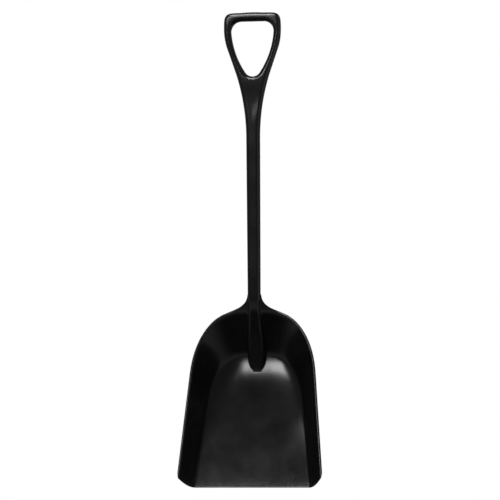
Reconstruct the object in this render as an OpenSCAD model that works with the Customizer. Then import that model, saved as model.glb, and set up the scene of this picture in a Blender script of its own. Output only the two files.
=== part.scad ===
// Grain scoop shovel: one polypropylene moulding, divided at its natural zones.
// X is to the right, Y towards the back, away from the pan's hollow side, and Z up the handle.
// The origin is where a hook bears: the middle of the hand bar's underside.
// Heights in the functions below are measured up from the front edge of the pan.

/* [Overall] */
// Height from the front edge of the pan to the top of the hand bar
total_h = 1070; // [1030:5:1120]
// Plastic thickness of the pan and of the hollow handle
wall_t = 4.5; // [3.5:0.25:5.5]

/* [Pan] */
// Lean of the pan's floor from the line of the handle, in degrees
pan_tilt = 20; // [16:1:24]
// Half width of the rim, as its side lines run out to the front edge
rim_half_w = 157.5; // [151.5:1:163.5]
// Half width of the flat floor at the front edge
floor_half_w = 128; // [120:1:134]
// Height of the arched rim behind the pan
arch_h = 391; // [382:1:398]
// Height of the heel, where the floor turns up into the back wall
heel_h = 290; // [280:1:300]
// How far the heel lies behind the rim's arch
heel_y = 51; // [44:1:58]
// How far the front corner of the rim stands forward of its arch
rim_rise_y = 98; // [85:1:108]
// Height of the rim's front corner above the front edge
corner_h = 20; // [16:1:28]
// Width of the rounded bead along the rim
bead_w = 6.8; // [6:0.2:9]
// Height of the rounded bead along the rim
bead_h = 4.8; // [4:0.2:7]
// Thickness left at the front edge
lip_t = 2; // [1.5:0.25:3]

/* [Handle] */
// Height at which the shaft meets the pan
root_h = 431; // [425:1:440]
// Height at which the shaft starts to widen into the yoke
neck_h = 785; // [760:5:800]
// Width of the shaft at its top
shaft_w = 31.4; // [29:0.2:34]
// Width of the shaft where it meets the pan
shaft_low_w = 29; // [27:0.2:31]
// Depth of the handle from front to back
handle_d = 29; // [26:0.5:32]
// Widest half width of the ridge inside the pan
ridge_half_w = 22.3; // [20:0.1:23]
// Height at which the ridge runs out on the floor
ridge_tip_h = 254; // [246:1:262]

/* [Grip] */
// Width over the two arms
grip_w = 130.6; // [124:0.2:136]
// Thickness of the hand bar at its middle
bar_t = 21; // [19:0.5:24]
// Height of the finger window
window_h = 124.8; // [118:0.2:130]
// Widest width of the finger window
window_w = 97; // [92:0.5:100]

/* [Hidden] */
// Which node to draw, or all of them
plastic = [0.09, 0.09, 0.1];
tiny = 0.0001;       // points closer than this are one point

steps_side = 8;      // stretches of the pan's grid along a straight side
steps_arch = 16;     // stretches round half of the arch
steps_floor = 2;     // stretches from the middle strip to the floor's crease
steps_wall = 11;     // stretches up the wall
steps_across = 12;   // stretches across a rounded section
edge_r = 8.75;       // reach of the rounding at each edge of the handle

strip_x = 24;        // half width of the plain strip down the middle of the pan
side_flare = 0.088;  // sideways run of the rim for each millimetre of height
floor_flare = 0.125; // the same for the floor's crease
rim_spring_h = 250;  // where the rim's arch springs from its side
floor_spring_h = 195;
fan_side_h = 160;    // where the grid line to the arch's spring leaves the middle strip
fan_top_h = 240;     // where the last grid line leaves it
arch_power = 2.3;    // superellipse powers, 2 for an ellipse
floor_power = 2.1;
web_power = 2.1;
crease_soft = 0.15;  // reach of the fillet at the crease, as a share of the wall
wall_curl = 0.25;    // share of the wall's climb that comes late, which leaves the wall a little hollow
front_bow = 0.85;    // how much the wall's front end bows, on top of a straight climb
lip_share = 0.06;    // the front edge's share of the straight side
web_x = 70;          // where the web beside the handle starts to rise from the arch
web_top_x = 15;      // where it runs out against the shaft

half_d = handle_d / 2;
top_w = shaft_w / 2;
low_w = shaft_low_w / 2;
hook_h = total_h - bar_t;

// ---- sections ----

// Height of a rounded edge at distance e from it, as a share of the full height, for a rounding
// of reach r.
function rounding(e, r) = e <= 0 ? 0 : (e >= r ? 1 : sqrt(1 - pow(1 - e / r, 2)));

// Places across a section, from 0 to 1, closer together near its two edges.
spread = [for (k = [0:steps_across]) (1 - cos(180 * k / steps_across)) / 2];

// Quarter of a superellipse: from [1, 0] at 0 degrees to [0, 1] at 90.
function quarter(angle, power) = [pow(cos(angle), 2 / power), pow(sin(angle), 2 / power)];

function unit(v) = v / norm(v);

// ---- solids from grids of points ----

// The two triangles of each cell of a grid of points, but none with two corners in one place.
function facets(grid) = [
    for (i = [0:len(grid) - 2], j = [0:len(grid[0]) - 2])
        let (a = grid[i][j], b = grid[i][j + 1], c = grid[i + 1][j + 1], d = grid[i + 1][j])
        for (t = [[a, c, b], [a, d, c]])
            if (norm(t[0] - t[1]) > tiny && norm(t[1] - t[2]) > tiny && norm(t[2] - t[0]) > tiny) t
];

function reversed(list) = [for (i = [len(list) - 1:-1:0]) list[i]];
function column(grid, j) = [for (row = grid) row[j]];
function mirrored(grid) = [for (row = grid) [for (p = row) [-p[0], p[1], p[2]]]];

// Facets of the body between a front grid and a back grid of the same size.
function between(front, back) = concat(
    facets(front),
    facets([for (row = back) reversed(row)])
);

// Facets that close the body along its first and last rows, and along its first and last columns.
function row_ends(front, back) = concat(
    facets([back[0], front[0]]),
    facets([front[len(front) - 1], back[len(back) - 1]])
);
function column_ends(front, back) = concat(
    facets([column(front, 0), column(back, 0)]),
    facets([column(back, len(back[0]) - 1), column(front, len(front[0]) - 1)])
);

module solid(triangles) {
    translate([0, 0, -hook_h])
        polyhedron(
            points = [for (t = triangles) each t],
            faces = [for (i = [0:len(triangles) - 1]) [3 * i, 3 * i + 1, 3 * i + 2]]
        );
}

module shell(front, back) {
    solid(concat(between(front, back), row_ends(front, back), column_ends(front, back)));
}

// ---- pan ----

function floor_y(h) = heel_y - (heel_h - h) * tan(pan_tilt);
function rim_y(h) = -rim_rise_y * max(0, arch_h - h) / (arch_h - corner_h);

// How far the web beside the handle rises from the arch, for a distance x from the middle.
function web_rise(x) =
    let (run = max(0, min(1, (web_x - x) / (web_x - web_top_x))))
    (root_h - arch_h) * (1 - pow(1 - pow(run, web_power), 1 / web_power));

// A grid line of the pan, for s from 0 at the front edge, by steps_side at the arch's spring, to
// line_count at the middle. It gives the height where the line leaves the middle strip, then the
// points [x, height] of its crease and its rim.
line_count = steps_side + steps_arch;
function side_line(t) =
    let (floor_h = t * floor_spring_h, rim_h = corner_h + t * (rim_spring_h - corner_h))
    [
        t * fan_side_h,
        [floor_half_w - floor_flare * floor_h, floor_h],
        [rim_half_w - side_flare * rim_h, rim_h]
    ];
function arch_line(angle) =
    let (
        f = quarter(angle, floor_power),
        r = quarter(angle, arch_power),
        floor_h = floor_spring_h + f[1] * (heel_h - floor_spring_h),
        rim_h = rim_spring_h + r[1] * (arch_h - rim_spring_h)
    )
    [
        fan_side_h + (fan_top_h - fan_side_h) * angle / 90,
        [strip_x + f[0] * (floor_half_w - floor_flare * floor_h - strip_x), floor_h],
        [strip_x + r[0] * (rim_half_w - side_flare * rim_h - strip_x), rim_h]
    ];
function line(s) = s <= steps_side
    ? side_line(s / steps_side)
    : arch_line(90 * min(1, (s - steps_side) / steps_arch));

// The front end of the wall curves up from the crease, and the lines behind it straighten out.
function line_bow(s) = 1 + front_bow * pow(max(0, 1 - s / steps_side), 2);

// Share of the way from the floor's plane to the rim's, with a fillet at the crease.
function filleted(f) = sqrt(f * f + crease_soft * crease_soft) - crease_soft;
function climb(f) = (1 - wall_curl) * filleted(f) / filleted(1) + wall_curl * f * f;

// A point of the pan's inner face on grid line s. The row r runs to steps_floor at the crease, then
// up the wall.
function inner(s, r) =
    let (
        l = line(s),
        on_floor = min(1, r / steps_floor),
        f = max(0, min(1, (r - steps_floor) / steps_wall)),
        x = r < steps_floor
            ? strip_x + (l[1][0] - strip_x) * on_floor
            : l[1][0] + (l[2][0] - l[1][0]) * f,
        h = r < steps_floor
            ? l[0] + (l[1][1] - l[0]) * on_floor
            : l[1][1] + (l[2][1] - l[1][1]) * pow(f, line_bow(s)),
        c = climb(f)
    )
    [x, floor_y(h) * (1 - c) + rim_y(h) * c, h];

// The direction out of the pan's back. The lines beside the middle strip turn squarely away from it.
function outward(s, r) =
    let (
        d = 0.02,
        last = steps_floor + steps_wall,
        along = s >= line_count ? [-1, 0, 0] : inner(s + d, min(r, last)) - inner(s - d, min(r, last)),
        up = inner(s, min(last, r + d)) - inner(s, min(last, r + d) - 2 * d)
    )
    unit(cross(along, up));

rows = [0:steps_floor + steps_wall];

// A grid line with its web row on top, as points of the inner face moved outward by depth t.
function grid_line(s, t) =
    let (
        top = inner(s, steps_floor + steps_wall),
        rise = web_rise(top[0])
    )
    concat(
        [for (r = rows) inner(s, r) + t * outward(s, r)],
        [
            rise > tiny
                ? [top[0], t, top[2] + rise]
                : top + t * outward(s, steps_floor + steps_wall)
        ]
    );

lip_s = lip_share * steps_side;
pan_lines = concat([lip_s], [for (s = [1:line_count]) s]);
function fan(t) = [for (s = pan_lines) grid_line(s, t)];

// The middle strip: the feet of all the grid lines, then the last line. Its face only depends on
// the height.
strip_columns = [-strip_x, -21, -18, -web_top_x, 0, web_top_x, 18, 21, strip_x];
function strip_edge(t) = concat(
    [for (s = pan_lines) grid_line(s, t)[0]],
    [for (r = [1:steps_floor + steps_wall]) grid_line(line_count, t)[r]]
);
function strip(t) = concat(
    [for (p = strip_edge(t)) [for (x = strip_columns) [x, p[1], p[2]]]],
    [[for (x = strip_columns) [x, t, arch_h + web_rise(abs(x))]]]
);

module pan() {
    right = fan(0);
    right_back = fan(wall_t);
    left = reversed(mirrored(right));
    left_back = reversed(mirrored(right_back));
    middle = strip(0);
    middle_back = strip(wall_t);
    last = len(right[0]) - 1;
    color(plastic)
        solid(concat(
            between(left, left_back),
            between(right, right_back),
            between(middle, middle_back),
            facets([column(left_back, last), column(left, last)]),
            facets([column(right_back, last), column(right, last)]),
            facets([right_back[0], right[0]]),
            facets([left[len(left) - 1], left_back[len(left) - 1]]),
            row_ends(middle, middle_back)
        ));
}

// The tapered wear edge in front of the pan, from its nose back to the pan's first grid line.
function skin(s) = lip_t + (wall_t - lip_t) * min(1, s / lip_s);
function lip_lines(side) = [
    for (s = [0, lip_s / 2, lip_s])
        let (right = grid_line(s, side * skin(s)), foot = right[0])
        concat(
            [for (p = reversed(right)) [-p[0], p[1], p[2]]],
            [for (x = strip_columns) if (abs(x) < strip_x) [x, foot[1], foot[2]]],
            right
        )
];

module front_lip() {
    color(plastic) shell(lip_lines(0), lip_lines(1));
}

// Places along the edge that the bead sits on, from the nose of the lip round to the shaft's side.
// Each has the edge's corners on the inner and the outer face, and a point further down the wall.
function rim_edge() =
    let (
        last = steps_floor + steps_wall,
        top = len(strip(0)) - 1,
        inside = strip(0)[top],
        outside = strip(wall_t)[top],
        right_end = len(strip_columns) - 1
    )
    concat(
        [
            for (s = concat([0, lip_s / 2], pan_lines))
                [grid_line(s, 0)[last + 1], grid_line(s, skin(s))[last + 1], inner(s, last - 1)]
        ],
        [for (k = [right_end - 1:-1:right_end - 3]) [inside[k], outside[k], inside[k] - [0, 0, 1]]]
    );

// The bead's outline across the edge, each place as [share of the wall's thickness outward, height
// above the edge].
bead_base = 0.8;     // height of the bead's upright sides
bead_least = 0.2;    // size of the bead where it dies out against the shaft
steps_bead = 8;
bead_outline = [
    for (k = [0:steps_bead])
        let (turn = 180 * k / steps_bead)
        [bead_w / 2 * (1 - cos(turn)) / wall_t, bead_base + (bead_h - bead_base) * sin(turn)]
];

// The outline's place q across the edge, when the bead has shrunk about the wall's middle to a size.
function shrunk(q, size) = q[0] < 0.5 ? q[0] : 0.5 + (q[0] - 0.5) * size;

function bead_rings() =
    let (e = rim_edge(), n = len(e) - 1)
    [
        for (i = [0:n])
            let (
                along = unit(e[min(n, i + 1)][0] - e[max(0, i - 1)][0]),
                across = e[i][1] - e[i][0],
                raw = unit(cross(across, along)),
                up = raw * (e[i][0] - e[i][2]) < 0 ? -raw : raw,
                from_shaft = (e[i][0][0] - web_top_x) / (web_x - web_top_x),
                size = min(1, bead_least + (1 - bead_least) * from_shaft)
            )
            concat(
                [e[i][0]],
                [for (q = bead_outline) e[i][0] + shrunk(q, size) * across + q[1] * size * up],
                [e[i][1]]
            )
    ];

// A closed body swept through rings of points that all run the same way round.
function swept(rings) =
    let (n = len(rings) - 1, m = len(rings[0]) - 1, first = rings[0], final = rings[n])
    concat(
        facets([for (r = rings) concat(r, [r[0]])]),
        [for (k = [1:m - 1]) [first[0], first[k], first[k + 1]]],
        [for (k = [1:m - 1]) [final[0], final[k + 1], final[k]]]
    );

module rim_bead_right() {
    color(plastic) solid(swept(bead_rings()));
}

module rim_bead_left() {
    color(plastic) solid(swept(reversed(mirrored(bead_rings()))));
}

// ---- handle ----

// Half depth of a handle section at a distance x from its middle, for a half width w, with a skin
// of thickness t taken off.
function section_y(x, w, t) = (half_d - t) * rounding(w - t - abs(x), min(w - t, edge_r - t));

// The ridge that carries the shaft down inside the pan: its half width, and how deep its crest stands.
ridge_wide_h = ridge_tip_h + 52;  // where it is widest
ridge_fade = 110;                 // run above that over which it narrows to the shaft's width
ridge_bend_h = 405;               // where its crest leaves the line of the shaft
ridge_bend_reach = 15;
function ridge_w(h) = h < ridge_wide_h
    ? ridge_half_w * sqrt(max(0, 1 - pow((ridge_wide_h - h) / (ridge_wide_h - ridge_tip_h), 2)))
    : low_w + (ridge_half_w - low_w) * (1 + cos(180 * min(1, (h - ridge_wide_h) / ridge_fade))) / 2;
function bend(h, reach) = abs(ridge_bend_h - h) < reach
    ? pow(ridge_bend_h + reach - h, 2) / (4 * reach)
    : max(0, ridge_bend_h - h);
ridge_slope = (floor_y(ridge_tip_h) + half_d) / (ridge_bend_h - ridge_tip_h);
function crest_y(h) = -half_d + ridge_slope * bend(h, ridge_bend_reach);

// The strip's face as [y, height] from the ridge's tip up to the shaft, with the pan's own rows on
// the curved wall.
last_line = grid_line(line_count, 0);
ridge_face = concat(
    [
        for (share = [0, 0.01, 0.05, 0.12, 0.22, 0.35, 0.5, 0.75])
            let (h = ridge_tip_h + share * (heel_h - ridge_tip_h))
            [floor_y(h), h]
    ],
    [for (r = [steps_floor:steps_floor + steps_wall]) [last_line[r][1], last_line[r][2]]],
    [for (k = [1:3]) [0, arch_h + (root_h - arch_h) * k / 3]]
);

function ridge_depth(row) = max(0, row[0] - crest_y(row[1]));
ridge_hollow = [for (i = [0:len(ridge_face) - 1]) if (ridge_depth(ridge_face[i]) > wall_t + 1) i][0];

// A row of the ridge's face, or of the hollow inside it, which starts behind the tip with an upright
// wall.
function ridge_row(row, t, stands) =
    let (w = ridge_w(row[1]) - t, depth = stands ? ridge_depth(row) - t : 0)
    [
        for (u = spread)
            let (x = w * (2 * u - 1))
            [x, row[0] - depth * rounding(w - abs(x), min(w, edge_r - t)), row[1]]
    ];

module inner_ridge() {
    n = len(ridge_face) - 1;
    color(plastic)
        shell(
            [for (i = [0:n]) ridge_row(ridge_face[i], 0, true)],
            [for (i = [0:n]) ridge_row(ridge_face[max(i, ridge_hollow)], wall_t, i >= ridge_hollow)]
        );
}

// The ridge on the pan's back, from the heel up to the shaft. Its top is the part of the shaft
// behind the web.
back_line = grid_line(line_count, wall_t);
back_face = concat(
    [for (r = [steps_floor:steps_floor + steps_wall]) [back_line[r][1], back_line[r][2]]],
    [[wall_t, root_h]]
);
spine_w = low_w - edge_r * (1 - sqrt(1 - pow(wall_t / half_d, 2)));
spine_heel_share = 0.65;  // its half width at the heel, as a share of that at the top

function spine_row(i, stands) =
    let (n = len(back_face) - 1, w = spine_w * (spine_heel_share + (1 - spine_heel_share) * i / n))
    [
        for (u = spread)
            let (
                x = w * (2 * u - 1),
                depth = max(0, section_y(spine_w * (2 * u - 1), low_w, 0) - wall_t) * sin(90 * i / n)
            )
            [x, back_face[i][0] + (stands && u > 0 && u < 1 ? depth : 0), back_face[i][1]]
    ];

module back_spine() {
    n = len(back_face) - 1;
    color(plastic)
        shell([for (i = [0:n]) spine_row(i, false)], [for (i = [0:n]) spine_row(i, true)]);
}

function shaft_loop(h, t) =
    let (w = low_w + (top_w - low_w) * (h - root_h) / (neck_h - root_h))
    concat(
        [for (u = spread) [(w - t) * (2 * u - 1), -section_y((w - t) * (2 * u - 1), w, t), h]],
        [for (u = reversed(spread)) [(w - t) * (2 * u - 1), section_y((w - t) * (2 * u - 1), w, t), h]]
    );

module shaft() {
    outside = [for (h = [root_h, neck_h]) shaft_loop(h, 0)];
    bore = [for (h = [root_h, neck_h]) shaft_loop(h, wall_t)];
    color(plastic) solid(concat(between(outside, bore), row_ends(outside, bore)));
}

// ---- grip ----

neck_r = 480;             // radius of the outline from the shaft up into the yoke
neck_turn = 18;           // how far it turns, in degrees
arm_r = 140;              // radius of the outline at the widest part of the grip
widest_drop = 38;         // how far that widest part lies below the bar's top
arm_h = total_h - widest_drop;
window_r = 190;           // radius of the window's sides
window_turn = 34;         // how far they turn down to the crotch
corner_r = 22.5;          // radius of the window's top corners
bar_arch_r = 324;         // radius of the arch along the top of the hand bar
corner_power = 4.8;       // superellipse power of the outer top corners
steps_arm = 10;
steps_corner = 14;
steps_bar = 3;
steps_crotch = 10;
steps_yoke = 12;

window_x = window_w / 2 - window_r;
crotch_r = (window_w / 2 - window_r * (1 - cos(window_turn))) / cos(window_turn);
crotch_h = hook_h - window_h + crotch_r;
side_h = crotch_h + (window_r - crotch_r) * sin(window_turn);
pivot_h = hook_h - corner_r;
pivot_turn = asin((pivot_h - side_h) / (window_r - corner_r));
pivot_x = window_x + (window_r - corner_r) * cos(pivot_turn);

// Half width of the outline at a height: the shaft, an arc outward, a straight line, and an arc back
// upright.
function outline_x(h) =
    let (
        low_h = neck_h + neck_r * sin(neck_turn),
        low_x = top_w + neck_r * (1 - cos(neck_turn)),
        high_h = arm_h - arm_r * sin(neck_turn),
        high_x = grip_w / 2 - arm_r * (1 - cos(neck_turn))
    )
    h <= neck_h ? top_w
    : h < low_h ? top_w + neck_r - sqrt(pow(neck_r, 2) - pow(h - neck_h, 2))
    : h < high_h ? low_x + (high_x - low_x) * (h - low_h) / (high_h - low_h)
    : h < arm_h ? grip_w / 2 - arm_r + sqrt(pow(arm_r, 2) - pow(arm_h - h, 2))
    : grip_w / 2;

function bar_top(x) = total_h - x * x / (2 * bar_arch_r);

// Height at which a ray from the centre of the window's side reaches the outline, closing in on it
// from a first guess h.
ray_tries = 12;
function ray_h(turn, h, tries) = tries == 0
    ? h
    : ray_h(turn, side_h + tan(turn) * (outline_x(h) - window_x), tries - 1);

// The places across the frame of the grip, each as its [inner, outer] ends in [x, height].
function arm_place(turn) =
    let (h = ray_h(turn, side_h, ray_tries))
    [[window_x + window_r * cos(turn), side_h + window_r * sin(turn)], [outline_x(h), h]];
function corner_place(turn) =
    let (
        wide = outline_x(pivot_h) - pivot_x,
        tall = bar_top(pivot_x) - pivot_h,
        spokes = [abs(cos(turn)) / wide, abs(sin(turn)) / tall],
        far = pow(pow(spokes[0], corner_power) + pow(spokes[1], corner_power), -1 / corner_power)
    )
    [for (reach = [corner_r, far]) [pivot_x + reach * cos(turn), pivot_h + reach * sin(turn)]];
function bar_place(x) = [[x, hook_h], [x, bar_top(x)]];

// Points across one place, with side -1 for the front face and 1 for the back.
function across(place, side) =
    let (gap = norm(place[1] - place[0]))
    [
        for (u = spread)
            let (p = place[0] + u * (place[1] - place[0]))
            [p[0], side * half_d * rounding(u * gap, edge_r) * rounding((1 - u) * gap, edge_r), p[1]]
    ];

arm_places = [for (k = [0:steps_arm]) arm_place(-window_turn + (pivot_turn + window_turn) * k / steps_arm)];
bar_places = concat(
    [arm_places[steps_arm]],
    [for (k = [1:steps_corner]) corner_place(pivot_turn + (90 - pivot_turn) * k / steps_corner)],
    [for (k = [1:steps_bar]) bar_place(pivot_x * (1 - k / steps_bar))]
);

function arm_grid(side) = [for (place = arm_places) across(place, side)];
function half_bar(side) = [for (place = bar_places) across(place, side)];
function bar_grid(side) =
    let (right = half_bar(side), left = reversed(mirrored(right)))
    concat(right, [for (i = [1:len(left) - 1]) left[i]]);

// The top of the yoke from left to right: the end of one arm, the crotch of the window, the end of
// the other.
function yoke_top(side) =
    let (end = across(arm_places[0], side))
    concat(
        [for (p = reversed(end)) [-p[0], p[1], p[2]]],
        [
            for (k = [1:steps_crotch - 1])
                let (turn = -180 + window_turn + (180 - 2 * window_turn) * k / steps_crotch)
                [crotch_r * cos(turn), 0, crotch_h + crotch_r * sin(turn)]
        ],
        end
    );

function yoke_row(k, side) =
    let (top = yoke_top(side), n = len(top) - 1, rise = sin(90 * k / steps_yoke))
    k == steps_yoke ? top
    : [
        for (i = [0:n])
            let (
                h = neck_h + (top[i][2] - neck_h) * rise,
                share = -cos(180 * i / n) * (1 - rise) + top[i][0] / outline_x(top[i][2]) * rise,
                x = share * outline_x(h),
                from_edge = outline_x(h) - abs(x),
                from_window = norm([x, h - crotch_h]) - crotch_r
            )
            [x, side * half_d * rounding(from_edge, edge_r) * rounding(from_window, edge_r), h]
    ];

function yoke_grid(side) = [for (k = [0:steps_yoke]) yoke_row(k, side)];

module grip_yoke() {
    color(plastic) shell(yoke_grid(-1), yoke_grid(1));
}

module grip_arm_right() {
    color(plastic) shell(arm_grid(-1), arm_grid(1));
}

module grip_arm_left() {
    color(plastic) shell(reversed(mirrored(arm_grid(-1))), reversed(mirrored(arm_grid(1))));
}

module hand_bar() {
    color(plastic) shell(bar_grid(-1), bar_grid(1));
}

pan();
front_lip();
rim_bead_left();
rim_bead_right();
inner_ridge();
back_spine();
shaft();
grip_yoke();
grip_arm_left();
grip_arm_right();
hand_bar();
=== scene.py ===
"""Grain scoop shovel in black polypropylene: its visual model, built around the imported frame."""

import math

import bpy
import numpy as np
from mathutils import Matrix, Vector


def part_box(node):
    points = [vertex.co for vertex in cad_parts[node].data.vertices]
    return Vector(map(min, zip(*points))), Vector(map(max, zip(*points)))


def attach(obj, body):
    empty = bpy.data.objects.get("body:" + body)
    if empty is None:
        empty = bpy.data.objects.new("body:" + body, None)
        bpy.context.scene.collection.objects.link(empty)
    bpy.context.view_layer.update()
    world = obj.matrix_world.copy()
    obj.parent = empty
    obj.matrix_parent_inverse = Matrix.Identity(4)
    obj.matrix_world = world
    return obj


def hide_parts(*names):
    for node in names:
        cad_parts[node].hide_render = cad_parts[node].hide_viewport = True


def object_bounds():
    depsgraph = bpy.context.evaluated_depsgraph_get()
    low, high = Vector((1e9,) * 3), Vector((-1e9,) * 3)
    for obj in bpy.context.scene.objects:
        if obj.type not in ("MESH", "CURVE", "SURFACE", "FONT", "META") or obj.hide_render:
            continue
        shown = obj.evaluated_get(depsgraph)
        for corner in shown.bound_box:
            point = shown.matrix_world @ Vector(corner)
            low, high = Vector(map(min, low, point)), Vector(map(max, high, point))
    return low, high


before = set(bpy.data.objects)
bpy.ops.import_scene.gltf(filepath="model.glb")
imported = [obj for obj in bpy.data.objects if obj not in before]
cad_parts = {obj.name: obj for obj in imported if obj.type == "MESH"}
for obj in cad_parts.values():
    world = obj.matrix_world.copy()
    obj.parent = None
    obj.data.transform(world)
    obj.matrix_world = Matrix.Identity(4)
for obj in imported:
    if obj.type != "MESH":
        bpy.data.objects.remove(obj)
CAD_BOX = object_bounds()

# ---- measures ----
# The shape is worked out in millimetres, as in the CAD: X to the right, Y towards the back and heights
# up from the front edge of the pan.
MM = 0.001
X, Y, Z = 0, 1, 2
LOW, HIGH = 0, 1
TINY = 1e-12  # stands in for a divisor that can be nothing


def box_mm(node, corner, axis):
    """One coordinate of a CAD node's box, in millimetres."""
    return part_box(node)[corner][axis] / MM


ROOT_H = 431.0  # where the shaft meets the pan
HOOK_H = ROOT_H - box_mm("shaft", LOW, Z)  # where a hook bears, at the frame's origin
NECK_H = HOOK_H + box_mm("shaft", HIGH, Z)  # where the shaft starts to widen into the yoke
TOTAL_H = HOOK_H + box_mm("hand_bar", HIGH, Z)
HALF_D = box_mm("shaft", HIGH, Y)  # half depth of the handle
TOP_W = box_mm("shaft", HIGH, X)  # half width of the shaft at its top
LOW_W = 14.5  # and where it meets the pan
GRIP_HALF_W = box_mm("hand_bar", HIGH, X)
WALL = 4.5  # thickness of the pan
EDGE_R = 8.75  # reach of the rounding at each edge of the handle

# Pan
TILT = math.tan(math.radians(20))  # lean of the floor from the line of the handle
FLOOR_HALF_W = 128.0  # half width of the floor at the front edge
RIM_HALF_W = 157.5  # the same over the rim, as its side lines run out to the front edge
FLOOR_FLARE = 0.125  # sideways run of the floor's crease for each millimetre of height
SIDE_FLARE = 0.088  # the same for the rim
STRIP_X = 24.0  # half width of the strip down the middle, where depth only depends on the height
ARCH_H = 391.0  # top of the arched rim
HEEL_H = 290.0  # where the floor turns up into the back wall
HEEL_Y = 51.0  # how far the heel lies behind the rim's arch
RIM_RISE_Y = 98.0  # how far the rim's front corner stands forward of its arch
CORNER_H = 20.0  # height of that corner
RIM_SPRING_H = 250.0  # where the rim's arch springs from its side
FLOOR_SPRING_H = 195.0  # the same for the crease
FAN_SIDE_H = 160.0  # where the grid line to the arch's spring leaves the middle strip
FAN_TOP_H = 240.0  # where the last grid line leaves it
ARCH_POWER = 2.3  # superellipse powers, 2 for an ellipse
FLOOR_POWER = 2.1
CREASE_SOFT = 0.1  # reach of the fillet at the crease, as a share of the wall
WALL_CURL = 0.25  # share of the wall's climb that comes late, which leaves the wall a little hollow
FRONT_BOW = 0.85  # how much the wall's front end bows, on top of a straight climb
LAST_LINE_TURN = 40.0  # sideways run of the grid past its last line, which turns it square to the strip

# The floor's dish, which curves up towards the arched end of the crease
DISH_FROM = 0.2  # it starts at this share of the way to the crease
DISH_DEPTH = 7.0
DISH_POWER = 2.5
DISH_LEAST = 0.3  # share of it that is left at the front edge
DISH_LEAST_H = 60.0  # up to this height
DISH_FULL_H = 230.0  # all of it, from here on

# The web beside the handle
WEB_X = 70.0  # where it starts to rise from the arch
WEB_TOP_X = 15.0  # where it runs out against the shaft
WEB_POWER = 2.1
WEB_FILLET = 9.0  # fillet between the back wall and the web
WEB_FILLET_FULL_X = 50.0  # it has its full reach inside this
WEB_FILLET_END_X = 85.0  # and none beyond this
WEB_LEAST = 0.02  # a lower web is left out
WEB_OWN = 0.5  # a web lower than this takes its outward direction from the wall

# Front lip and rim bead
LIP_U = 0.06  # the lip's share of the straight side
LIP_T = 2.0  # thickness left at the front edge
BEAD_W = 6.7
BEAD_H = 4.8
BEAD_BASE = 0.8  # height of the bead's upright sides
BEAD_LEAST = 0.2  # size of the bead where it dies out against the shaft
BEAD_END_R = 7.0  # reach of the rounding at its front end
POCKET = 0.6  # how far the hidden joint faces lie under the skin

# Ridge inside the pan
TIP_H = 254.0  # where it runs out on the floor
WIDE_H = 306.0  # where it is widest
RIDGE_HALF_W = 22.3
RIDGE_FADE = 110.0  # run above that over which it narrows to the shaft's width
BEND_H = 405.0  # where its crest leaves the line of the shaft
BEND_REACH = 15.0
CREST_SOFT = 2.0  # the crest stays short of its line by up to this, so that it starts softly
CREST_SOFT_H = TIP_H + 60  # from here up it falls short by less
CREST_FULL_H = ROOT_H - 20  # and from here up it is on its line
FOOT_FILLET = 3.0  # fillet along the ridge's foot on the floor
FOOT_FILLET_TOP = 9.0  # and at the top of the back wall
FOOT_GROWS_H = 340.0  # the fillet grows between these heights
FOOT_GROWN_H = 390.0
FOOT_FADES_H = 392.0  # and fades out from here up to the shaft
FOOT_MOST = 0.45  # largest fillet, as a share of the ridge's depth

# Spine behind the pan
SPINE_W = LOW_W - EDGE_R * (1 - math.sqrt(1 - (WALL / HALF_D) ** 2))  # half width at the shaft
SPINE_HEEL_SHARE = 0.65  # its half width at the heel, as a share of that
SPINE_FILLET = 3.0
SPINE_FADE_POWER = 6  # how late the fillet fades out towards the shaft
SPINE_FOOT_SLOPE = 1.2  # slope at which the spine's side would run on below the pan's back

# Grip
WINDOW_H = 124.8
WINDOW_W = 97.0
NECK_R = 480.0  # radius of the outline from the shaft up into the yoke
NECK_TURN = math.radians(18)
ARM_R = 140.0  # radius of the outline at the widest part of the grip
ARM_H = TOTAL_H - 38  # height of that widest part
WINDOW_R = 190.0  # radius of the window's sides
WINDOW_TURN = math.radians(34)  # how far they turn down to the crotch
CORNER_R = 22.5  # radius of the window's top corners
BAR_ARCH_R = 324.0  # radius of the arch along the top of the hand bar
CORNER_POWER = 4.8  # superellipse power of the outer top corners
RAY_TRIES = 12  # steps that close in on the outline
SHIELD_FOOT_H = NECK_H + 26  # foot of the shallow panel in each face of the yoke
SHIELD_RUN = 50.0  # it deepens over this height
SHIELD_POINT = 1.6  # slope of its pointed lower end
SHIELD_TOP_H = HOOK_H - WINDOW_H - 4
SHIELD_DEPTH = 1.1

# Wear
NOSE_WEAR_RUN = 9.0  # height over which the wear of the front edge falls off
BAR_WEAR = 0.25
BAR_WEAR_H = HOOK_H - 30  # where the wear of the hand bar starts

# Mesh density
SIDE_LINES = 26
ARCH_LINES = 60
FLOOR_ROWS = 28
WALL_ROWS = 40
WALL_ROWS_POWER = 1.4  # above 1, rows are closer together near the crease
WEB_ROWS = 14
PLAIN_STEPS = 8
FILLET_STEPS = 6
ACROSS_STEPS = 14
CROTCH_STEPS = 20
SECTION_STEPS = 2 * ACROSS_STEPS + CROTCH_STEPS
NOSE_STEPS = 6
LIP_STEPS = 5
BEAD_STEPS = 18
BEAD_FOOT_STEPS = 4
SHAFT_RINGS = 36
YOKE_ROWS = 56
ARM_STEPS = 44
CORNER_STEPS = 28
BAR_STEPS = 14
MERGE_DIGITS = 4  # points that agree to this many decimals of a millimetre are one point


# ---- curves ----
def rounding(e, reach):
    """Height of a rounded edge at distance e from it, as a share of the full height."""
    share = np.clip(e / np.maximum(reach, TINY), 0, 1)
    return np.sqrt(1 - (1 - share) ** 2)


def smooth(value, low, high):
    """0 below low, 1 above high, and a smooth step in between."""
    t = np.clip((value - low) / (high - low), 0, 1)
    return t * t * (3 - 2 * t)


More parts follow.
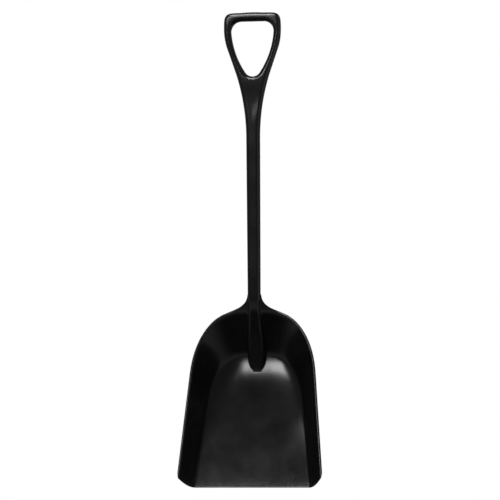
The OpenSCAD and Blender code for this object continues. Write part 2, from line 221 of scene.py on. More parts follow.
def superellipse(turn, power):
    """Quarter of a superellipse, from (1, 0) to (0, 1)."""
    return np.cos(turn) ** (2 / power), np.sin(turn) ** (2 / power)


def spread(steps):
    """Places across a section, from -1 to 1, closer together near its two edges."""
    return -np.cos(np.linspace(0, math.pi, steps + 1))


def unit(v):
    return v / np.linalg.norm(v, axis=-1, keepdims=True)


def points(x, y, h):
    return np.stack(np.broadcast_arrays(x, y, h), axis=-1).astype(float)


# ---- pan surface ----
# The right half of the pan is a fan of grid lines that leave the middle strip. Line u is 0 at the front
# edge, 1 at the arch's spring and 2 beside the shaft. Row w on it is 0 at the strip, 1 at the floor's
# crease, 2 at the rim and 3 at the top of the web.
CREASE_ROW = 1
RIM_ROW = 2
WEB_ROW = 3
DOWN_THE_WALL = 1.8  # a row below the rim, which shows which way the bead stands up


def floor_y(h):
    return HEEL_Y - (HEEL_H - h) * TILT


def rim_y(h):
    return -RIM_RISE_Y * np.maximum(0, ARCH_H - h) / (ARCH_H - CORNER_H)


def filleted(f):
    return np.sqrt(f * f + CREASE_SOFT**2) - CREASE_SOFT


def climb(f):
    """Share of the way from the floor's plane to the rim's, with a fillet at the crease."""
    return (1 - WALL_CURL) * filleted(f) / filleted(1) + WALL_CURL * f * f


CLIMB_SLOPE = (1 - WALL_CURL) / math.sqrt(1 + CREASE_SOFT**2) / filleted(1) + 2 * WALL_CURL


def dish(x, h):
    """How far the floor curves forward near the arched end of its crease."""
    half = FLOOR_HALF_W - FLOOR_FLARE * h - STRIP_X
    across = np.maximum(0, np.abs(x) - STRIP_X) / half
    up = np.maximum(0, h - FLOOR_SPRING_H) / (HEEL_H - FLOOR_SPRING_H)
    place = (across**FLOOR_POWER + up**FLOOR_POWER) ** (1 / FLOOR_POWER)
    t = np.maximum(0, (place - DISH_FROM) / (1 - DISH_FROM))
    curve = np.where(t < 1, t**DISH_POWER, 1 + DISH_POWER * (t - 1))
    return DISH_DEPTH * curve * (DISH_LEAST + (1 - DISH_LEAST) * smooth(h, DISH_LEAST_H, DISH_FULL_H))


def web_rise(x):
    """How far the web beside the handle rises from the arch, at a distance x from the middle."""
    run = np.clip((WEB_X - x) / (WEB_X - WEB_TOP_X), 0, 1)
    rise = (ROOT_H - ARCH_H) * (1 - (1 - run**WEB_POWER) ** (1 / WEB_POWER))
    return np.where(rise > WEB_LEAST, rise, 0)


def fillet_fill(d, slope, reach):
    """What a fillet adds at a distance d from a crease between a slope and an upright face."""
    return slope * np.maximum(0, reach - np.abs(d)) ** 2 / (4 * np.maximum(reach, TINY))


def grid_line(u):
    """Height of line u's foot on the strip, then the x and the height of its crease and of its rim."""
    side = np.clip(u, 0, 1)
    turn = np.clip(u - 1, 0, 1) * math.pi / 2
    floor_out, floor_up = superellipse(turn, FLOOR_POWER)
    rim_out, rim_up = superellipse(turn, ARCH_POWER)
    floor_h = side * FLOOR_SPRING_H + floor_up * (HEEL_H - FLOOR_SPRING_H)
    rim_h = CORNER_H + side * (RIM_SPRING_H - CORNER_H) + rim_up * (ARCH_H - RIM_SPRING_H)
    foot_h = side * FAN_SIDE_H + np.clip(u - 1, 0, 1) * (FAN_TOP_H - FAN_SIDE_H)
    floor_x = STRIP_X + floor_out * (FLOOR_HALF_W - FLOOR_FLARE * floor_h - STRIP_X)
    rim_x = STRIP_X + rim_out * (RIM_HALF_W - SIDE_FLARE * rim_h - STRIP_X)
    return foot_h, floor_x, floor_h, rim_x, rim_h


def face(u, w):
    """The pan's inner face at row w of line u."""
    foot_h, floor_x, floor_h, rim_x, rim_h = grid_line(u)
    on_floor = np.clip(w, 0, 1)
    on_wall = np.clip(w - CREASE_ROW, 0, 1)
    bow = 1 + FRONT_BOW * np.maximum(0, 1 - u) ** 2
    x = STRIP_X + (floor_x - STRIP_X) * on_floor + (rim_x - floor_x) * on_wall
    h = foot_h + (floor_h - foot_h) * on_floor + (rim_h - floor_h) * on_wall**bow
    c = climb(on_wall)
    y = (floor_y(h) - dish(x, h)) * (1 - c) + rim_y(h) * c
    h = h + web_rise(rim_x) * np.clip(w - RIM_ROW, 0, 1)
    drop = floor_y(rim_h) - dish(rim_x, rim_h) - rim_y(rim_h)
    slope = drop * CLIMB_SLOPE / ((rim_h - floor_h) * bow) - RIM_RISE_Y / (ARCH_H - CORNER_H)
    y = y + fillet_fill(h - rim_h, slope, WEB_FILLET * smooth(-rim_x, -WEB_FILLET_END_X, -WEB_FILLET_FULL_X))
    return points(x - LAST_LINE_TURN * np.maximum(0, u - 2), y, h)


def outward(u, w):
    """The direction out of the pan's back."""
    step = 0.003
    _, _, _, rim_x, _ = grid_line(u)
    last_row = np.where(web_rise(rim_x) > WEB_OWN, WEB_ROW, RIM_ROW)
    at = np.clip(w, step, last_row - step)
    along = face(u + step, at) - face(np.maximum(0, u - step), at)
    up = face(u, at + step) - face(u, at - step)
    return unit(np.cross(along, up))


def middle_y(h):
    """Depth of the middle strip's face at a height."""
    c = climb(np.clip((h - HEEL_H) / (ARCH_H - HEEL_H), 0, 1))
    lean = (floor_y(h) - dish(0, h)) * (1 - c) + rim_y(h) * c
    drop = floor_y(ARCH_H) - dish(0, ARCH_H)
    slope = drop * CLIMB_SLOPE / (ARCH_H - HEEL_H) - RIM_RISE_Y / (ARCH_H - CORNER_H)
    return lean + fillet_fill(h - ARCH_H, slope, WEB_FILLET)


def behind(x, h):
    """The point on the pan's back behind the middle strip's point at x and height h."""
    step = 0.2
    slope = (middle_y(h + step) - middle_y(h - step)) / (2 * step)
    out = unit(points(0 * h, 1 + 0 * h, -slope))
    return points(x, middle_y(h), h) + WALL * out


# ---- ridge in front and spine behind ----
def section_y(x, w):
    """Half depth of the handle at a distance x from its middle, for a half width w."""
    return HALF_D * rounding(w - np.abs(x), EDGE_R)


def ridge_w(h):
    """Half width of the ridge at a height."""
    below = RIDGE_HALF_W * np.sqrt(np.clip(1 - ((WIDE_H - h) / (WIDE_H - TIP_H)) ** 2, 0, 1))
    fall = np.clip((h - WIDE_H) / RIDGE_FADE, 0, 1) * math.pi
    above = LOW_W + (RIDGE_HALF_W - LOW_W) * (1 + np.cos(fall)) / 2
    return np.where(h < WIDE_H, np.where(h < TIP_H, 0, below), above)


def crest_y(h):
    """Depth of the ridge's crest: the line of the shaft, and below the bend a line back to the floor."""
    slope = (floor_y(TIP_H) + HALF_D) / (BEND_H - TIP_H)
    gap = BEND_H - h
    curve = (gap + BEND_REACH) ** 2 / (4 * BEND_REACH)
    return -HALF_D + slope * np.where(np.abs(gap) < BEND_REACH, curve, np.maximum(0, gap))


def ridge_depth(h):
    """How far the crest stands in front of the face, starting softly at the tip."""
    depth = np.maximum(0, middle_y(h) - crest_y(h))
    short = CREST_SOFT * (1 - smooth(h, CREST_SOFT_H, CREST_FULL_H))
    return depth * depth / (depth + short + TINY)


def ridge_fillet(h):
    """Reach of the fillet along the ridge's foot."""
    grown = FOOT_FILLET + (FOOT_FILLET_TOP - FOOT_FILLET) * smooth(h, FOOT_GROWS_H, FOOT_GROWN_H)
    return np.minimum(grown - FOOT_FILLET_TOP * smooth(h, FOOT_FADES_H, ROOT_H), FOOT_MOST * ridge_depth(h))


def ridge_z(x, h):
    """How far the ridge stands in front of the face, with a fillet along its foot."""
    aside = np.abs(x)
    reach = ridge_fillet(h)
    inner = ridge_w(h) - reach / 2
    outer = ridge_w(h) + reach / 2
    foot = reach - np.sqrt(np.maximum(0, reach * reach - (aside - outer) ** 2))
    edge = rounding(inner - aside, np.clip(inner, TINY, EDGE_R))
    body = reach + (ridge_depth(h) - reach) * edge
    return np.where(aside >= outer, 0, np.where(aside > inner, foot, body))


def spine_share(h):
    """Share of the way from the heel up to the shaft."""
    return np.clip((h - HEEL_H) / (ROOT_H - HEEL_H), 0, 1)


def spine_w(h):
    """Half width of the spine at a height."""
    return SPINE_W * (SPINE_HEEL_SHARE + (1 - SPINE_HEEL_SHARE) * spine_share(h))


def spine_rise(h):
    """The spine's height off the pan's back, as a share of that at the shaft."""
    return np.sin(math.pi / 2 * spine_share(h))


def spine_fillet(h):
    return SPINE_FILLET * spine_rise(h) * (1 - spine_share(h) ** SPINE_FADE_POWER)


def spine_reach(h):
    """Distance from the spine's side to the far edge of its fillet."""
    return spine_fillet(h) / SPINE_FOOT_SLOPE + (LOW_W - SPINE_W)


def spine_z(x, h):
    """How far the spine stands behind the pan's back, with a fillet along its foot."""
    aside = np.abs(x)
    w = spine_w(h)
    inside = (section_y(SPINE_W * np.minimum(aside / w, 1), LOW_W) - WALL) * spine_rise(h)
    raw = np.where(aside < w, inside, -SPINE_FOOT_SLOPE * (aside - w))
    return np.maximum(raw, 0) + fillet_fill(raw, 1, spine_fillet(h)) * (spine_share(h) > 0)


# ---- the middle strip's columns ----
FIRST_IN = PLAIN_STEPS  # index of the column at the edge of the ridge's or the spine's footprint
LEAST_OUTER_W = 8.0  # the footprint closes in no further than this, where there is no ridge
LEAST_INNER_W = 0.85 * LEAST_OUTER_W
COLUMNS_OPEN_H = TIP_H - 60  # on the back, the footprint widens from here up to the tip's height


def columns(outer, inner):
    """The x of each column on each row: plain, fillet, section, fillet, plain."""
    section = inner[:, None] * spread(SECTION_STEPS)
    turn = np.linspace(math.pi / 2, 0, FILLET_STEPS + 1)[1:]
    foot = outer[:, None] - (outer - inner)[:, None] * np.sin(turn)
    plain = outer[:, None] + (STRIP_X - outer)[:, None] * np.linspace(0, 1, PLAIN_STEPS + 1)[1:]
    right = np.concatenate([foot, plain], axis=1)
    return np.concatenate([-right[:, ::-1], section, right], axis=1)


# ---- the pan's grids ----
def rows_of_wall():
    floor = np.linspace(0, 1, FLOOR_ROWS + 1)
    wall = np.linspace(0, 1, WALL_ROWS + 1)[1:] ** WALL_ROWS_POWER
    web = np.linspace(0, 1, WEB_ROWS + 1)[1:]
    return np.concatenate([floor, CREASE_ROW + wall, RIM_ROW + web])


def lines_of_pan():
    side = LIP_U + (1 - LIP_U) * np.linspace(0, 1, SIDE_LINES + 1)
    arch = 1 + np.linspace(0, 1, ARCH_LINES + 1)[1:]
    return np.concatenate([side, arch])


ROWS = rows_of_wall()
LINES = lines_of_pan()
FAN_FRONT = face(LINES[:, None], ROWS[None, :])
FAN_BACK = FAN_FRONT + WALL * outward(LINES[:, None], ROWS[None, :])


def mirrored(grid):
    return grid * np.array([-1.0, 1.0, 1.0])


def strip_rows():
    """Height of each row of the middle strip without the web, and its share of the web's rise."""
    last_line = face(LINES[-1], ROWS[(ROWS > 0) & (ROWS <= RIM_ROW)])
    heights = np.concatenate([FAN_FRONT[:, 0, Z], last_line[:, Z]])
    web = ROWS[ROWS > RIM_ROW] - RIM_ROW
    shares = np.concatenate([np.zeros(len(heights)), web])
    return np.concatenate([heights, np.full(len(web), ARCH_H)]), shares


STRIP_H, STRIP_SHARE = strip_rows()
STRIP_MID_H = STRIP_H + (ROOT_H - ARCH_H) * STRIP_SHARE


def strip_edge(fan):
    """The strip's outer column, taken from the fan beside it."""
    return np.concatenate([fan[:, 0], fan[-1, 1:]])


def strip_grid(x, back):
    """The strip's front or back, with its columns at x on each row."""
    h = STRIP_H[:, None] + web_rise(np.abs(x)) * STRIP_SHARE[:, None]
    grid = behind(x, h) if back else points(x, middle_y(h), h)
    edge = strip_edge(FAN_BACK if back else FAN_FRONT)
    grid[:, -1] = edge
    grid[:, 0] = mirrored(edge)
    return grid


def ridge_columns():
    reach = ridge_fillet(STRIP_MID_H)
    outer = np.maximum(ridge_w(STRIP_MID_H) + reach / 2, LEAST_OUTER_W)
    inner = np.maximum(ridge_w(STRIP_MID_H) - reach / 2, LEAST_INNER_W)
    return columns(outer, inner)


def spine_columns():
    inner = spine_w(STRIP_MID_H)
    outer = inner + spine_reach(STRIP_MID_H)
    opened = smooth(STRIP_MID_H, COLUMNS_OPEN_H, TIP_H)
    return columns(
        LEAST_OUTER_W + (outer - LEAST_OUTER_W) * opened,
        LEAST_INNER_W + (inner - LEAST_INNER_W) * opened,
    )


STRIP_FRONT = strip_grid(ridge_columns(), False)
STRIP_BACK = strip_grid(spine_columns(), True)
RIDGE_ROW = int(np.searchsorted(STRIP_MID_H, TIP_H)) - 1
SPINE_ROW = int(np.searchsorted(STRIP_MID_H, HEEL_H))


def raised(grid, first_row, height, direction):
    """The skin of the ridge or the spine over its footprint, and the hidden joint face under it. Their
    first row and outer columns stay on the pan's face, where the pan's own patches end."""
    joint = grid[first_row:, FIRST_IN:-FIRST_IN].copy()
    skin = joint.copy()
    skin[1:, 1:-1, Y] += direction * height(joint[..., X], joint[..., Z])[1:, 1:-1]
    joint[1:, 1:-1, Y] -= direction * POCKET
    return skin, joint


RIDGE_SKIN, RIDGE_JOINT = raised(STRIP_FRONT, RIDGE_ROW, ridge_z, -1)
SPINE_SKIN, SPINE_JOINT = raised(STRIP_BACK, SPINE_ROW, spine_z, 1)


# ---- meshes from patches ----
SHAPES = {}  # piece name: list of (grid, flipped, seen, group)
SKIN_GROUP = 0  # patches in one group share their normals where they meet
LEDGE_GROUP = 1  # the narrow ledge under the bead


def patch(name, grid, flipped=False, seen=True, group=SKIN_GROUP):
    """Adds a grid of points to a piece. Its faces look along the cross product of its first direction
    and its second, or the other way if flipped. A hidden joint face isn't seen."""
    SHAPES.setdefault(name, []).append((np.asarray(grid, float), flipped, seen, group))


def build_pan_side(side):
    front = FAN_FRONT if side > 0 else mirrored(FAN_FRONT)
    back = FAN_BACK if side > 0 else mirrored(FAN_BACK)
    patch("pan_shell", front, flipped=side > 0)
    patch("pan_shell", back, flipped=side < 0)
    patch("pan_shell", np.stack([front[:, -1], back[:, -1]]), flipped=side < 0, seen=False)
    patch("pan_shell", np.stack([front[0], back[0]]), flipped=side < 0, seen=False)


def build_pan_strip(grid, joint, first_row, front):
    """One face of the middle strip, with the joint face in place of the ridge's or the spine's footprint."""
    patch("pan_shell", grid[:, : FIRST_IN + 1], flipped=front)
    patch("pan_shell", grid[:, -FIRST_IN - 1 :], flipped=front)
    patch("pan_shell", grid[: first_row + 1, FIRST_IN:-FIRST_IN], flipped=front)
    patch("pan_shell", joint, flipped=front, seen=False)


def strip_top(grid, joint):
    return np.concatenate([grid[-1, :FIRST_IN], joint[-1], grid[-1, -FIRST_IN:]])


def build_pan():
    build_pan_side(1)
    build_pan_side(-1)
    build_pan_strip(STRIP_FRONT, RIDGE_JOINT, RIDGE_ROW, True)
    build_pan_strip(STRIP_BACK, SPINE_JOINT, SPINE_ROW, False)
    patch("pan_shell", np.stack([STRIP_FRONT[0], STRIP_BACK[0]]), seen=False)
    top = np.stack([strip_top(STRIP_FRONT, RIDGE_JOINT), strip_top(STRIP_BACK, SPINE_JOINT)])
    patch("pan_shell", top, flipped=True, seen=False)


def lip_skin(u):
    """Thickness of the lip at line u."""
    return LIP_T + (WALL - LIP_T) * np.minimum(1, u / LIP_U)


def lip_line(u, depth):
    """One line of the lip from the left rim to the right rim, moved back by depth."""
    rows = ROWS[ROWS <= RIM_ROW]
    right = face(u, rows) + depth * outward(u, rows)
    foot = right[0]
    middle = points(STRIP_FRONT[0, 1:-1, X], foot[Y], foot[Z])
    return np.concatenate([mirrored(right[::-1]), middle, right])


def nose_rings():
    """The line u and the front and back depths of each ring round the lip's nose, then up to the pan."""
    r = LIP_T / 2
    nose_u = r / FLOOR_SPRING_H
    turn = np.linspace(math.pi / 2, 0, NOSE_STEPS + 1)
    nose = zip(nose_u * (1 - np.sin(turn)), r * (1 - np.cos(turn)))
    rings = [(u, taken, lip_skin(u) - taken) for u, taken in nose]
    return rings + [(u, 0.0, lip_skin(u)) for u in np.linspace(nose_u, LIP_U, LIP_STEPS + 1)[1:]]


LIP_RINGS = nose_rings()


def build_lip():
    front = np.stack([lip_line(u, depth) for u, depth, _ in LIP_RINGS])
    back = np.stack([lip_line(u, depth) for u, _, depth in LIP_RINGS])
    patch("front_lip_edge", front, flipped=True)
    patch("front_lip_edge", back)
    patch("front_lip_edge", np.stack([front[:, -1], back[:, -1]]), seen=False)
    patch("front_lip_edge", np.stack([front[:, 0], back[:, 0]]), flipped=True, seen=False)
    patch("front_lip_edge", np.stack([front[-1], back[-1]]), flipped=True, seen=False)


def bead_outline():
    """The bead's section as (share of the wall's thickness outward, height above the edge)."""
    over = np.linspace(0, math.pi, BEAD_STEPS + 1)
    under = np.linspace(0, math.pi / 2, BEAD_FOOT_STEPS + 1)[1:]
    r = BEAD_BASE
    out = np.concatenate([[0], BEAD_W / 2 * (1 - np.cos(over)), BEAD_W - r + r * np.cos(under)])
    high = np.concatenate([[0], r + (BEAD_H - r) * np.sin(over), r - r * np.sin(under)])
    return out / WALL, high


def bead_path():
    """The edge under the right bead, from the lip's nose to the shaft: its inner and outer corners, and a
    point further down the wall."""
    lip = LIP_RINGS[:-1]
    web_top = slice(-2, -FIRST_IN - 2, -1)  # the strip's columns from the fan in to the shaft's side
    inside = [face(u, RIM_ROW) + depth * outward(u, RIM_ROW) for u, depth, _ in lip]
    outside = [face(u, RIM_ROW) + depth * outward(u, RIM_ROW) for u, _, depth in lip]
    below = [face(u, DOWN_THE_WALL) for u, _, _ in lip]
    inside += [*FAN_FRONT[:, -1], *STRIP_FRONT[-1, web_top]]
    outside += [*FAN_BACK[:, -1], *STRIP_BACK[-1, web_top]]
    below += [*face(LINES, DOWN_THE_WALL), *(STRIP_FRONT[-1, web_top] - points(0, 0, 1))]
    return np.array(inside), np.array(outside), np.array(below)


def bead_size(inside):
    """Size of the bead along its path: it grows from a rounded end, and shrinks beside the shaft."""
    run = np.concatenate([[0], np.cumsum(np.linalg.norm(np.diff(inside, axis=0), axis=1))])
    beside = np.clip((inside[:, X] - WEB_TOP_X) / (WEB_X - WEB_TOP_X), 0, 1)
    return (BEAD_LEAST + (1 - BEAD_LEAST) * beside) * rounding(run, BEAD_END_R)


def bead_rings(inside, outside, below):
    """Rings of the right bead's skin. Each shrinks about the middle of the wall's edge."""
    along = np.concatenate([inside[1:], inside[-1:]]) - np.concatenate([inside[:1], inside[:-1]])
    wall = outside - inside
    trace = 1e-6 * outward(0.5, RIM_ROW)  # the wall's direction at the nose's first ring, which has none
    up = unit(np.cross(wall + trace, along))
    up *= np.sign(np.sum(up * (inside - below), axis=1, keepdims=True))
    size = bead_size(inside)[:, None]
    out, high = bead_outline()
    middle = 0.5
    out = np.where(out < middle, out, middle + (out - middle) * size)
    high = high * size
    return inside[:, None] + out[..., None] * wall[:, None] + high[..., None] * up[:, None]


def build_beads():
    inside, outside, below = bead_path()
    rings = bead_rings(inside, outside, below)
    for name, side in (("rim_bead_right_roll", 1), ("rim_bead_left_roll", -1)):
        right = side > 0
        skin, inner, outer = (rings, inside, outside) if right else map(mirrored, (rings, inside, outside))
        patch(name, skin, flipped=right)
        patch(name, np.stack([skin[:, -1], outer]), flipped=not right, group=LEDGE_GROUP)
        patch(name, np.stack([outer, inner]), flipped=not right, seen=False)
        end = np.concatenate([skin[-1], outer[-1:]])
        patch(name, np.stack([end, np.repeat(inner[-1:], len(end), axis=0)]), flipped=right, seen=False)


def build_ridge():
    patch("inner_ridge_skin", RIDGE_SKIN, flipped=True)
    patch("inner_ridge_skin", RIDGE_JOINT, seen=False)
    patch("inner_ridge_skin", np.stack([RIDGE_SKIN[-1], RIDGE_JOINT[-1]]), flipped=True, seen=False)


def build_spine():
    patch("back_spine_skin", SPINE_SKIN)
    patch("back_spine_skin", SPINE_JOINT, flipped=True, seen=False)
    patch("back_spine_skin", np.stack([SPINE_JOINT[-1], SPINE_SKIN[-1]]), flipped=True, seen=False)


# ---- handle ----
def build_shaft():
    h = np.linspace(ROOT_H, NECK_H, SHAFT_RINGS + 1)[:, None]
    w = LOW_W + (TOP_W - LOW_W) * (h - ROOT_H) / (NECK_H - ROOT_H)
    x = w * spread(SECTION_STEPS)
    depth = section_y(x, w)
    build_shell("shaft_tube", points(x, -depth, h), points(x, depth, h))


# The window's right side is an arc about (WINDOW_X, SIDE_H). It runs on without a corner into the crotch's
# arc below, and into the top corner's arc about (PIVOT_X, PIVOT_H) above.
WINDOW_X = WINDOW_W / 2 - WINDOW_R
CROTCH_R = (WINDOW_W / 2 - WINDOW_R * (1 - math.cos(WINDOW_TURN))) / math.cos(WINDOW_TURN)
CROTCH_H = HOOK_H - WINDOW_H + CROTCH_R
SIDE_H = CROTCH_H + (WINDOW_R - CROTCH_R) * math.sin(WINDOW_TURN)
PIVOT_H = HOOK_H - CORNER_R
PIVOT_TURN = math.asin((PIVOT_H - SIDE_H) / (WINDOW_R - CORNER_R))
PIVOT_X = WINDOW_X + (WINDOW_R - CORNER_R) * math.cos(PIVOT_TURN)


def outline_x(h):
    """Half width of the grip's outline at a height."""
    low_h = NECK_H + NECK_R * math.sin(NECK_TURN)
    low_x = TOP_W + NECK_R * (1 - math.cos(NECK_TURN))
    high_h = ARM_H - ARM_R * math.sin(NECK_TURN)
    high_x = GRIP_HALF_W - ARM_R * (1 - math.cos(NECK_TURN))
    neck = TOP_W + NECK_R - np.sqrt(np.maximum(0, NECK_R**2 - np.maximum(0, h - NECK_H) ** 2))
    straight = low_x + (high_x - low_x) * (h - low_h) / (high_h - low_h)
    arm = GRIP_HALF_W - ARM_R + np.sqrt(np.maximum(0, ARM_R**2 - (ARM_H - h) ** 2))
    return np.select([h < low_h, h < high_h, h < ARM_H], [neck, straight, arm], GRIP_HALF_W)


def bar_top(x):
    return TOTAL_H - x * x / (2 * BAR_ARCH_R)


def arm_place(turn):
    """Inner and outer ends, as (x, height), of a place across the arm."""
    h = SIDE_H
    for _ in range(RAY_TRIES):
        h = SIDE_H + math.tan(turn) * (float(outline_x(h)) - WINDOW_X)
    inner = (WINDOW_X + WINDOW_R * math.cos(turn), SIDE_H + WINDOW_R * math.sin(turn))
    return inner, (float(outline_x(h)), h)


def corner_place(turn):
    """The same for a place across one of the bar's corners."""
    wide = float(outline_x(PIVOT_H)) - PIVOT_X
    tall = bar_top(PIVOT_X) - PIVOT_H
    sides = (abs(math.cos(turn)) / wide) ** CORNER_POWER + (abs(math.sin(turn)) / tall) ** CORNER_POWER
    far = sides ** (-1 / CORNER_POWER)
    return tuple((PIVOT_X + r * math.cos(turn), PIVOT_H + r * math.sin(turn)) for r in (CORNER_R, far))


def bar_place(x):
    return (x, HOOK_H), (x, bar_top(x))


def across(place, side):
    """Points across one place, with side -1 for the front face and 1 for the back."""
    inner, outer = (np.array(p) for p in place)
    gap = np.linalg.norm(outer - inner)
    share = (spread(ACROSS_STEPS) + 1) / 2
    at = inner + share[:, None] * (outer - inner)
    y = side * HALF_D * rounding(share * gap, EDGE_R) * rounding((1 - share) * gap, EDGE_R)
    return points(at[:, 0], y, at[:, 1])


ARM_PLACES = [arm_place(turn) for turn in np.linspace(-WINDOW_TURN, PIVOT_TURN, ARM_STEPS + 1)]
BAR_PLACES = [
    ARM_PLACES[-1],
    *[corner_place(turn) for turn in np.linspace(PIVOT_TURN, math.pi / 2, CORNER_STEPS + 1)[1:]],
    *[bar_place(x) for x in np.linspace(PIVOT_X, 0, BAR_STEPS + 1)[1:]],
]


def build_shell(name, front, back):
    """A closed piece between a front grid and a back grid that meet along both long edges."""
    patch(name, front, flipped=True)
    patch(name, back)
    patch(name, np.stack([front[-1], back[-1]]), flipped=True, seen=False)
    patch(name, np.stack([front[0], back[0]]), seen=False)


def build_arms():
    grids = [np.stack([across(place, side) for place in ARM_PLACES]) for side in (-1, 1)]
    build_shell("grip_arm_right_bow", *grids)
    build_shell("grip_arm_left_bow", *[mirrored(g)[:, ::-1] for g in grids])


def build_bar():
    """The bar with both its corners, from the top of the right arm to the top of the left."""
    grids = []
    for side in (-1, 1):
        right = np.stack([across(place, side) for place in BAR_PLACES])
        left = mirrored(right)[::-1]
        grids.append(np.concatenate([right, left[1:]]))
    build_shell("hand_bar_grip", *grids)


def shield(x, h):
    """Depth of the shallow panel in each face of the yoke. Its lower end is a slope that points down."""
    rise = smooth(h - SHIELD_POINT * np.abs(x), SHIELD_FOOT_H, SHIELD_FOOT_H + SHIELD_RUN)
    fade = 1 - smooth(h, SHIELD_FOOT_H + SHIELD_RUN, SHIELD_TOP_H)
    return SHIELD_DEPTH * rise * fade


def yoke_top(side):
    """The yoke's top edge: across the left arm, round the crotch and across the right arm."""
    end = across(ARM_PLACES[0], side)
    turn = -math.pi + WINDOW_TURN + (math.pi - 2 * WINDOW_TURN) * np.arange(1, CROTCH_STEPS) / CROTCH_STEPS
    crotch = points(CROTCH_R * np.cos(turn), 0, CROTCH_H + CROTCH_R * np.sin(turn))
    return np.concatenate([mirrored(end)[::-1], crotch, end])


def yoke_grid(side):
    """One face of the yoke, in rows that go over from the shaft's top to the yoke's top edge."""
    top = yoke_top(side)
    even = spread(SECTION_STEPS)
    rows = []
    for k in range(YOKE_ROWS):
        rise = math.sin(math.pi / 2 * k / YOKE_ROWS)
        h = NECK_H + (top[:, Z] - NECK_H) * rise
        share = even * (1 - rise) + top[:, X] / outline_x(top[:, Z]) * rise
        x = share * outline_x(h)
        edge = rounding(outline_x(h) - np.abs(x), EDGE_R)
        window = rounding(np.hypot(x, h - CROTCH_H) - CROTCH_R, EDGE_R)
        rows.append(points(x, side * (HALF_D * window - shield(x, h)) * edge, h))
    return np.stack(rows + [top])


def build_yoke():
    build_shell("grip_yoke_body", yoke_grid(-1), yoke_grid(1))


# ---- from patches to objects ----
def cells(grid, flipped):
    """Corner points of each cell, four a cell, in the order that makes its normal look the right way."""
    a, b, c, d = grid[:-1, :-1], grid[1:, :-1], grid[1:, 1:], grid[:-1, 1:]
    corners = np.stack([a, d, c, b] if flipped else [a, b, c, d], axis=2)
    return corners.reshape(-1, 4, 3)


def faces_of(name):
    """Vertices, faces, and each face's seen flag and group, with points in one place merged."""
    vertices, index, faces, flags = [], {}, [], []
    for grid, flipped, seen, group in SHAPES[name]:
        for corners in (np.round(cells(grid, flipped), MERGE_DIGITS) + 0.0).tolist():  # + 0.0 clears -0.0
            ring = []
            for corner in map(tuple, corners):
                if corner not in index:
                    index[corner] = len(vertices)
                    vertices.append(corner)
                if index[corner] not in ring:
                    ring.append(index[corner])
            if len(ring) >= 3:
                faces.append(ring)
                flags.append((seen, group))
    return vertices, faces, flags


def face_normal(corners):
    fan = [np.cross(a - corners[0], b - corners[0]) for a, b in zip(corners[1:], corners[2:])]
    normal = sum(fan, np.zeros(3))
    return normal / max(np.linalg.norm(normal), TINY)


def corner_angles(corners):
    angles = []
    for k, corner in enumerate(corners):
        a = corners[k - 1] - corner
        b = corners[(k + 1) % len(corners)] - corner
        cosine = a @ b / max(np.linalg.norm(a) * np.linalg.norm(b), TINY)
        angles.append(math.acos(max(-1.0, min(1.0, cosine))))
    return angles


def shared_normals(shapes):
    """Normals of the seen surface at each of its points, over all the pieces, so that no joint shows, and
    each piece's own face normals."""
    total, own = {}, {}
    for name, (vertices, faces, flags) in shapes.items():
        at = np.array(vertices)
        own[name] = [face_normal(at[ring]) for ring in faces]
        for ring, (seen, group), normal in zip(faces, flags, own[name]):
            if seen:
                for k, angle in zip(ring, corner_angles(at[ring])):
                    key = (vertices[k], group)
                    total[key] = total.get(key, 0) + normal * angle
    return total, own


def loop_normals(shape, total, own):
    """The normal at each corner of each face: the shared one where it's seen, and its own elsewhere."""
    vertices, faces, flags = shape
    normals = []
    for ring, (seen, group), flat in zip(faces, flags, own):
        for k in ring:
            normal = total[(vertices[k], group)] if seen else flat
            size = np.linalg.norm(normal)
            normals.append(normal / size if size > TINY else flat)
    return np.array(normals)


def wear_of(at):
    """How much each point rubs in use: most along the front edge, and less on the hand bar."""
    nose = np.exp(-np.maximum(0, at[:, Z]) / NOSE_WEAR_RUN)
    return nose + BAR_WEAR * smooth(at[:, Z], BAR_WEAR_H, TOTAL_H)


def make_object(name, shape, normals, extra_wear):
    vertices, faces, _ = shape
    at = np.array(vertices)
    mesh = bpy.data.meshes.new(name)
    mesh.from_pydata(((at - [0, 0, HOOK_H]) * MM).tolist(), [], faces)
    mesh.polygons.foreach_set("use_smooth", [True] * len(faces))
    mesh.normals_split_custom_set(normals.tolist())
    wear = mesh.attributes.new("wear", "FLOAT", "POINT")
    wear.data.foreach_set("value", np.clip(wear_of(at) + extra_wear, 0, 1).astype(np.float32))
    mesh.update()
    obj = bpy.data.objects.new(name, mesh)
    bpy.context.scene.collection.objects.link(obj)
    return obj


# ---- material ----
BLACK = (0.003, 0.003, 0.0032, 1)
RUBBED_GREY = (0.03, 0.03, 0.031, 1)
PLASTIC_IOR = 1.49
SCUFFS = 0.3  # strength of the scuffs along the handle
FLOW_STRETCH = (14, 14, 5)  # slow waves in the surface, longer up the handle
STREAK_STRETCH = (420, 420, 9)  # scuffs that run up the handle
CLOUD_TINT = 0.06  # share of the rubbed grey that comes with the slow unevenness
MARK_TINT = 0.55  # and with scuffs and wear
MARK_ROUGHNESS = 0.18
GRAIN_ROUGHNESS = 0.015
GRAIN_HEIGHT = 0.000012  # in metres, as the next two are
FLOW_HEIGHT = 0.0004
MARK_DEPTH = 0.00002


def noise(tree, vector, scale, detail, rough=0.5):
    texture = tree.nodes.new("ShaderNodeTexNoise")
    for key, value in (("Scale", scale), ("Detail", detail), ("Roughness", rough)):
        texture.inputs[key].default_value = value
    tree.links.new(vector, texture.inputs["Vector"])
    return texture.outputs["Fac"]


def stretched(tree, vector, scale):
    mapping = tree.nodes.new("ShaderNodeMapping")
    mapping.inputs["Scale"].default_value = scale
    tree.links.new(vector, mapping.inputs["Vector"])
    return mapping.outputs["Vector"]


